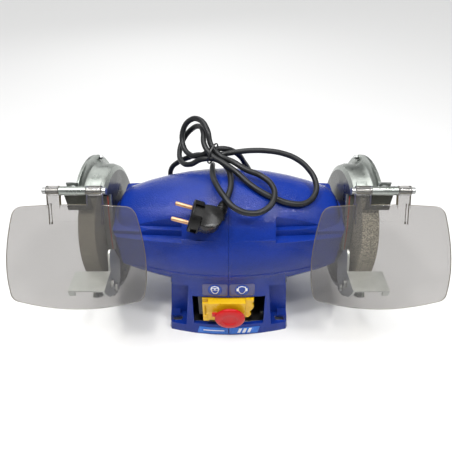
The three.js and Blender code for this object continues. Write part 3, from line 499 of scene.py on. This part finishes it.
# ---------------------------------------------------------------- spindle and wheels
# A ground steel spindle carries a wheel at each end, between two pressed flanges and under a hex nut.
# The left wheel is fine grey-brown grit, the right one coarse beige-grey grit, both bound with a dull glaze.
ground_steel = finish("ground_steel", (0.42, 0.42, 0.43), (0.6, 0.6, 0.61), (0.2, 0.34), metal=1.0,
                      fine=500.0, broad=60.0, stretch=(6, 1, 1), bump=0.00002)
fine_grit = finish("fine_grit", (0.07, 0.064, 0.048), (0.33, 0.31, 0.25), (0.8, 0.95), fine=2100.0,
                   broad=1300.0, bump=0.0005, spread=(0.42, 0.62))
coarse_grit = finish("coarse_grit", (0.07, 0.062, 0.042), (0.66, 0.62, 0.5), (0.75, 0.95), fine=1300.0,
                     broad=800.0, bump=0.0008, spread=(0.44, 0.6))
dressed("spindle_shaft", ground_steel, bevel=0.0004)
for side, grit in (("left", fine_grit), ("right", coarse_grit)):
    mirror = -1 if side == "left" else 1
    wheel = spun([(155, 8), (155, 74), (155.6, 74.8), (156.2, 75), (173.8, 75), (174.4, 74.8), (175, 74),
                  (175, 8), (155, 8)], 96)
    bmesh.ops.scale(wheel, vec=(mirror, 1, 1), verts=wheel.verts)
    bmesh.ops.translate(wheel, vec=(0, 0, AXIS), verts=wheel.verts)
    bmesh.ops.recalc_face_normals(wheel, faces=wheel.faces)
    wheel_mesh = meshed(f"wheel_{side}_grit", wheel)
    shown(f"wheel_{side}_grit", wheel_mesh, grit, f"wheel_{side}")
    for part in ("wheel_flange_inner", "wheel_flange_outer", "wheel_nut"):
        dressed(f"{part}_{side}", zinc_steel, bevel=0.0006)

# ---------------------------------------------------------------- guards
# Pressed sheet-steel drums, open at the front, with a rolled rim that a cover is screwed to.
# The zinc on them is pale green-grey, clouded and faintly spangled, and bright along the pressed edges.
galvanised = finish("galvanised_sheet", (0.21, 0.235, 0.215), (0.46, 0.485, 0.455), (0.2, 0.4), metal=1.0,
                    fine=420.0, broad=38.0, bump=0.00015, spread=(0.25, 0.72), relief="Broad")
# A much darker copy of the same zinc, for the flat inner side of each drum: painted shade where it faces the
# motor.
inner_zinc_painted_shade = finish("zinc_sheet_painted_shade", (0.045, 0.048, 0.045), (0.11, 0.113, 0.107), (0.22, 0.38), metal=0.9,
                   fine=420.0, broad=38.0, bump=0.0001, spread=(0.25, 0.72), relief="Broad")
red_edge = finish("red_edge_paint", (0.5, 0.02, 0.012), (0.65, 0.045, 0.03), (0.3, 0.45), fine=900.0,
                  broad=60.0, bump=0.00003)
# The front edge of a guard, as Y and Z in millimetres from the spindle axis. The roll ends higher up.
MOUTH = ((-18, 64), (-27, 45), (-35, 27), (-42, 4), (-49, -20))
ROLL = ((-18, 64), (-27, 45), (-35, 27), (-42, 4), (-43.8, -2))
EDGE_X, ROLL_X, INNER_FACE = 0.1468, 0.1447, 0.1475


def edging(name, route, x, back, radius, resolution, look):
    """A round bead along the front edge of a guard, moved back from it by some millimetres."""
    bead = bpy.data.curves.new(name, "CURVE")
    bead.dimensions = "3D"
    bead.bevel_depth = radius
    bead.bevel_resolution = resolution
    bead.use_fill_caps = True
    run = bead.splines.new("POLY")
    run.points.add(len(route) - 1)
    for point, (y, z) in zip(run.points, route):
        point.co = (x, (y + back) / 1000, z / 1000 + AXIS, 1)
    bead.materials.append(look)
    piece = bpy.data.objects.new(name, bead)
    bpy.context.scene.collection.objects.link(piece)
    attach(piece, "frame")


for side in ("left", "right"):
    mirror = -1 if side == "left" else 1
    edging(f"mouth_edging_{side}", MOUTH, mirror * EDGE_X, 0.3, 0.0006, 2, red_edge)
    edging(f"mouth_roll_{side}", ROLL, mirror * ROLL_X, 2.9, 0.0021, 5, galvanised)
    drum = dressed(f"guard_{side}", galvanised, bevel=0.0, smooth=24)
    drum.data.materials.append(inner_zinc_painted_shade)
    # The faces of the flat inner side plate take the darker copy: painted shade.
    for face in drum.data.polygons:
        if abs(face.normal.x) > 0.95 and abs(face.center.x) < INNER_FACE:
            face.material_index = 1
    dressed(f"guard_cover_{side}", galvanised, bevel=0.0004, smooth=24)
    for count in (1, 2):
        dressed(f"cover_screw_{side}_{count}", zinc_steel, bevel=0.0005)

# ---------------------------------------------------------------- shield brackets
# A bent steel strap on each guard carries the hinge tube, and a wing bolt clamps the spark flap under it.
# The spark flap's steel is nearly black: painted shade for the shadow it sits in under the hinge pin.
flap_steel_painted_shade = finish("spark_flap_painted_shade", (0.035, 0.037, 0.03), (0.09, 0.092, 0.08), (0.3, 0.5), metal=0.8,
                    fine=700.0, broad=60.0, bump=0.00004)
for side in ("left", "right"):
    dressed(f"shield_bracket_{side}", galvanised, bevel=0.0004)
    dressed(f"spark_flap_{side}", flap_steel_painted_shade, bevel=0.0004)
    dressed(f"clamp_bolt_{side}", zinc_steel, bevel=0.0004)
    dressed(f"hinge_pin_{side}", zinc_steel, bevel=0.0006)

# ---------------------------------------------------------------- eye shields
# Each shield is one clear moulding 3 mm thick: a bowed plate with two eyes that turn on the hinge pin.
# Its surface is polished with faint wiping scratches; its edges are painted warmer and darker: painted shade.
clear = bpy.data.materials.new("clear_shield")
clear.use_nodes = True
clear_nodes, clear_link = clear.node_tree.nodes, clear.node_tree.links.new
clear_shader = clear_nodes["Principled BSDF"]
clear_shader.inputs["Base Color"].default_value = (0.50, 0.487, 0.477, 1.0)
clear_shader.inputs["Transmission Weight"].default_value = 0.95
clear_shader.inputs["IOR"].default_value = 1.45
clear_grain = clear_nodes.new("ShaderNodeGroup")
clear_grain.node_tree = GRAIN
clear_grain.inputs["Stretch"].default_value = (0.2, 1, 1)
clear_grain.inputs["Fine Scale"].default_value = 700.0
clear_grain.inputs["Broad Scale"].default_value = 30.0
wiped = clear_nodes.new("ShaderNodeMapRange")
wiped.inputs["From Min"].default_value = 0.35
wiped.inputs["From Max"].default_value = 0.75
wiped.inputs["To Min"].default_value = 0.03
wiped.inputs["To Max"].default_value = 0.14
clear_link(clear_grain.outputs["Broad"], wiped.inputs["Value"])
clear_link(wiped.outputs["Result"], clear_shader.inputs["Roughness"])
light_ray = clear_nodes.new("ShaderNodeLightPath")
lets_through = clear_nodes.new("ShaderNodeBsdfTransparent")
lets_through.inputs["Color"].default_value = (0.86, 0.85, 0.83, 1.0)
either = clear_nodes.new("ShaderNodeMixShader")
clear_link(light_ray.outputs["Is Shadow Ray"], either.inputs["Fac"])
clear_link(clear_shader.outputs["BSDF"], either.inputs[1])
clear_link(lets_through.outputs["BSDF"], either.inputs[2])
clear_link(either.outputs["Shader"], clear_nodes["Material Output"].inputs["Surface"])
# The edges take a darker, warmer, less clear copy of it: painted shade for the dark outline of a clear plate.
shield_edge_shade = clear.copy()
shield_edge_shade.name = "clear_shield_rim_painted_shade"
edge_shader = shield_edge_shade.node_tree.nodes["Principled BSDF"]
edge_shader.inputs["Base Color"].default_value = (0.17, 0.145, 0.095, 1.0)
edge_shader.inputs["Transmission Weight"].default_value = 0.35


def bowed(corners, steps=10):
    """Points along a chain of curves, each from the last point by a control point to the next."""
    points = [corners[0]]
    for control, end in zip(corners[1::2], corners[2::2]):
        start = points[-1]
        for i in range(1, steps + 1):
            t = i / steps
            points.append(tuple((1 - t) ** 2 * a + 2 * t * (1 - t) * b + t * t * c
                                for a, b, c in zip(start, control, end)))
    return points


HINGE_X, HINGE_Y, HINGE_Z = 0.170, -0.052, 0.096
SHIELD_TILT, EYE_REACH = math.radians(-33.7), 0.0065
plate_outline = bowed([(-57, -17), (-66, -18), (-69, -28), (-83, -78), (-76, -114), (-75, -124),
                       (-65, -125.5), (0, -142.5), (65, -125.5), (75, -124), (76, -114), (83, -78),
                       (69, -28), (66, -18), (57, -17), (0, -12.5), (-57, -17)])
for side in ("left", "right"):
    mirror = -1 if side == "left" else 1
    plate = bmesh.new()
    loop = [plate.verts.new((x / 1000, -0.0015, z / 1000)) for x, z in plate_outline[:-1]]
    lens_face = plate.faces.new(loop)
    grown = bmesh.ops.extrude_face_region(plate, geom=[lens_face])
    bmesh.ops.translate(plate, vec=(0, 0.003, 0),
                        verts=[v for v in grown["geom"] if isinstance(v, bmesh.types.BMVert)])
    bmesh.ops.recalc_face_normals(plate, faces=plate.faces)
    rims = [e for e in plate.edges if abs(e.verts[0].co.y - e.verts[1].co.y) < 1e-6]
    bmesh.ops.bevel(plate, geom=rims, offset=0.0009, offset_type="OFFSET", segments=3, profile=0.5,
                    affect="EDGES", clamp_overlap=True, material=-1)
    wide_faces = sorted(plate.faces, key=lambda face: face.calc_area())[-2:]
    # A narrow band round each face takes the edge copy too: a painted dark outline.
    border = bmesh.ops.inset_individual(plate, faces=wide_faces, thickness=0.0011, use_even_offset=True)
    for face in border["faces"]:
        face.material_index = 1
    lens_mesh = meshed(f"eye_shield_{side}", plate)
    lens = shown(f"eye_shield_{side}", lens_mesh, clear, f"shield_{side}")
    lens.data.materials.append(shield_edge_shade)
    for low, high in ((-32, -15.2), (14.2, 28)):
        eye = spun([(low, 0), (low, 5.2), (low + 0.4, 5.6), (high - 0.4, 5.6), (high, 5.2), (high, 0)], 28)
        carve(lens, eye, "UNION")
        web = bmesh.new()
        block(web, (low, -2.6, -19), (high, 2.6, -2))
        carve(lens, web, "UNION")
    for lows, highs in (((-32, 1, -34), (28, 3.7, -17)), ((-32, 1.1, -37), (-29.5, 5.5, -14)),
                        ((25.5, 1.1, -37), (28, 5.5, -14))):
        pad = bmesh.new()
        block(pad, lows, highs)
        carve(lens, pad, "UNION")
    window = bmesh.new()
    block(window, (-15, -9, -12), (13.8, 9, 9))
    carve(lens, window)
    carve(lens, spun([(-40, 0), (-40, 2.7), (40, 2.7), (40, 0)], 24))
    hung = Matrix.Translation((HINGE_X, HINGE_Y, AXIS + HINGE_Z)) @ Matrix.Rotation(SHIELD_TILT, 4, "X")
    lens.data.transform(Matrix.Diagonal((mirror, 1, 1, 1)) @ hung)
    if mirror < 0:
        lens.data.flip_normals()
    tilted = Vector((0, math.cos(SHIELD_TILT), math.sin(SHIELD_TILT)))
    # Every face but the plate's faces and the eyes takes the painted shade of the edges.
    for face in lens.data.polygons:
        in_the_eyes = math.hypot(face.center.y - HINGE_Y, face.center.z - AXIS - HINGE_Z) < EYE_REACH
        if not in_the_eyes and abs(face.normal.dot(tilted)) < 0.9:
            face.material_index = 1
    lens.data.set_sharp_from_angle(angle=math.radians(40))

# ---------------------------------------------------------------- tool rests
# Each rest is one folded plate, zinc plated: a cheek with two slots against the guard, and a shelf for the
# work. Two bolts go through the slots, so the rest slides up to the wheel as it wears.
rest_zinc = finish("rest_zinc", (0.50, 0.54, 0.515), (0.76, 0.79, 0.76), (0.28, 0.42), metal=0.7, fine=420.0,
                   broad=45.0, bump=0.0001, spread=(0.25, 0.72), relief="Broad")
for side in ("left", "right"):
    dressed(f"tool_rest_{side}", rest_zinc, bevel=0.0007, segments=3)
    for count in (1, 2):
        dressed(f"rest_bolt_{side}_{count}", zinc_steel, bevel=0.0005)

# ---------------------------------------------------------------- switch
# A black switch block behind a yellow plate, with a green start and a red off button under a hinged yellow
# lid. The lid carries a red mushroom button that presses the off button, and a hasp for a padlock on its
# free side.
yellow = finish("yellow_moulding", (0.68, 0.39, 0.0), (0.80, 0.49, 0.008), (0.22, 0.36), fine=1500.0,
                broad=40.0, bump=0.00003)
red = finish("red_moulding", (0.46, 0.004, 0.006), (0.58, 0.009, 0.010), (0.26, 0.4), fine=1500.0, broad=60.0,
             bump=0.00003, Specular_IOR_Level=0.3)
green = finish("green_moulding", (0.01, 0.2, 0.05), (0.02, 0.3, 0.08), (0.25, 0.38), fine=1500.0, broad=60.0,
               bump=0.00003)
dressed("switch_body", black_moulding, bevel=0.0008)
dressed("switch_plate", yellow, bevel=0.0005)
dressed("switch_cover", yellow, bevel=0.0007)
dressed("start_button", green, bevel=0.0005)
dressed("off_button", red, bevel=0.0005)
mushroom = spun([(-92.2, 0), (-92.2, 8.8), (-92.4, 9.4), (-93.3, 10.0), (-93.5, 10.7), (-93.5, 13),
                 (-93.4, 15), (-93.0, 17.2), (-92.2, 18.8), (-91.2, 19.7), (-90.0, 20), (-89.2, 19.8),
                 (-88.6, 19.2), (-88.3, 18.4), (-88.3, 8.5), (-81, 8.5), (-81, 9.7), (-79.8, 9.7),
                 (-79.8, 0)], 72)
button_mesh = meshed("stop_mushroom", mushroom)
stop = shown("stop_mushroom", button_mesh, red, "stop_button")
latch = bmesh.new()
block(latch, (-88.8, -1.5, 2), (-87, 23.5, 9))
bmesh.ops.recalc_face_normals(latch, faces=latch.faces)
carve(stop, latch, "UNION")
stop.data.transform(Matrix.Translation((0.0015, 0, AXIS - 0.084)) @ Matrix.Rotation(math.radians(90), 4, "Z"))
stop.data.materials.clear()
stop.data.materials.append(red)
rounded(stop, 0.0003, 2, 40)

# ---------------------------------------------------------------- labels
# Two clear film labels with a white symbol on a blue disc, above the switch, and a printed blue strip at
# the foot. They are thin printed films pressed onto the paint, so they follow its curve.


LABEL_Z, FILM_FRONT, FILM_THICKNESS = -45.5, -0.12, 0.00008
LAYERS = (0.00012, 0.00025, 0.00036, 0.00047, 0.00058, 0.00069)  # lifts above the paint, film first


def film(name, corners, look, lift, rows=8):
    """A thin film pressed onto the front of the base, from an outline in X and Z, in millimetres."""
    sheet = bmesh.new()
    sheet.faces.new([sheet.verts.new((x / 1000, FILM_FRONT, z / 1000 + AXIS)) for x, z in corners])
    for axis, low, high in ((0, min(x for x, z in corners), max(x for x, z in corners)),
                            (2, min(z for x, z in corners), max(z for x, z in corners))):
        for i in range(1, rows):
            at = (low + (high - low) * i / rows) / 1000 + (AXIS if axis == 2 else 0)
            normal = (1, 0, 0) if axis == 0 else (0, 0, 1)
            bmesh.ops.bisect_plane(sheet, geom=list(sheet.verts) + list(sheet.edges) + list(sheet.faces),
                                   plane_co=(at, 0, at), plane_no=normal)
    mesh = meshed(name, sheet)
    piece = shown(name, mesh, look, body="frame")
    middle = sum(x for x, z in corners) / len(corners)
    pressed = piece.modifiers.new("pressed_on", "SHRINKWRAP")
    pressed.target = frame["nodes"]["housing_left" if middle < 0 else "housing_right"]
    pressed.wrap_method = "PROJECT"
    pressed.use_project_x, pressed.use_project_y, pressed.use_project_z = False, True, False
    pressed.use_negative_direction, pressed.use_positive_direction = False, True
    pressed.offset = lift
    depsgraph = bpy.context.evaluated_depsgraph_get()
    piece.data = bpy.data.meshes.new_from_object(piece.evaluated_get(depsgraph))
    piece.modifiers.clear()
    thick = piece.modifiers.new("film", "SOLIDIFY")
    thick.thickness = FILM_THICKNESS
    thick.offset = 0
    return piece


def round_outline(x, z, wide, high, corner, steps=6):
    """An outline with round corners about a middle, from its half width and half height."""
    points = []
    for sx, sz, start in ((1, 1, 0), (-1, 1, 90), (-1, -1, 180), (1, -1, 270)):
        for i in range(steps + 1):
            angle = math.radians(start + 90 * i / steps)
            points.append((x + sx * (wide - corner) + corner * math.cos(angle),
                           z + sz * (high - corner) + corner * math.sin(angle)))
    return points


disc_print = finish("disc_print", (0.004, 0.035, 0.26), (0.006, 0.05, 0.32), (0.2, 0.3), fine=900.0,
                    broad=60.0, bump=0.00001)
blue_print = finish("blue_print", (0.01, 0.12, 0.55), (0.015, 0.16, 0.62), (0.2, 0.3), fine=900.0, broad=60.0,
                    bump=0.00001)
white_print = finish("white_print", (0.72, 0.74, 0.76), (0.82, 0.83, 0.85), (0.25, 0.35), fine=900.0,
                     broad=60.0, bump=0.00001)
clear_film = finish("clear_film", (0.055, 0.058, 0.16), (0.085, 0.085, 0.2), (0.1, 0.18), fine=900.0,
                    broad=60.0, bump=0.00001)
HEAD = [(-5.6, 2.2), (-4.6, 5.6), (0, 7.2), (4.6, 5.6), (5.6, 2.2), (4.4, -2.6), (1.8, -6.2), (-1.8, -6.2),
        (-4.4, -2.6)]
for name, centre in (("left", -17.8), ("right", 17.2)):
    film(f"label_film_{name}", round_outline(centre, LABEL_Z, 16.4, 10.6, 3.5), clear_film, LAYERS[0])
    film(f"label_disc_{name}", round_outline(centre, LABEL_Z, 9.4, 9.4, 9.39, 12), disc_print, LAYERS[1])
    film(f"label_head_{name}", [(centre + x, z + LABEL_Z) for x, z in HEAD], white_print, LAYERS[2])
    film(f"label_face_{name}", [(centre + x * 0.8, z * 0.8 + LABEL_Z) for x, z in HEAD], disc_print,
         LAYERS[3])
film("label_goggles", round_outline(-17.8, -43.6, 5.6, 1.9, 1.2), white_print, LAYERS[4])
for count, centre in enumerate((-20.2, -15.4)):
    film(f"label_lens_{count + 1}", round_outline(centre, -43.7, 1.7, 1.1, 0.9), disc_print, LAYERS[5])
for count, centre in enumerate((11.6, 22.8)):
    film(f"label_muff_{count + 1}", round_outline(centre, -44.6, 1.5, 2.6, 1.2), white_print, LAYERS[4])
film("foot_strip_left", [(-44, -128), (-0.6, -128), (-0.6, -115.5), (-41, -115.5)], blue_print, 0.00015)
film("foot_strip_right", [(0.6, -128), (41, -128), (44, -115.5), (0.6, -115.5)], blue_print, 0.00015)
for number, start in enumerate((12, 19, 26)):
    film(f"strip_bar_{number + 1}", [(start, -126), (start + 4, -126), (start + 6.5, -117.5),
                                     (start + 2.5, -117.5)], white_print, 0.00026, 4)
film("strip_line_left", [(-36, -122.6), (-6, -122.6), (-6, -120.8), (-35, -120.8)], white_print, 0.00026, 4)
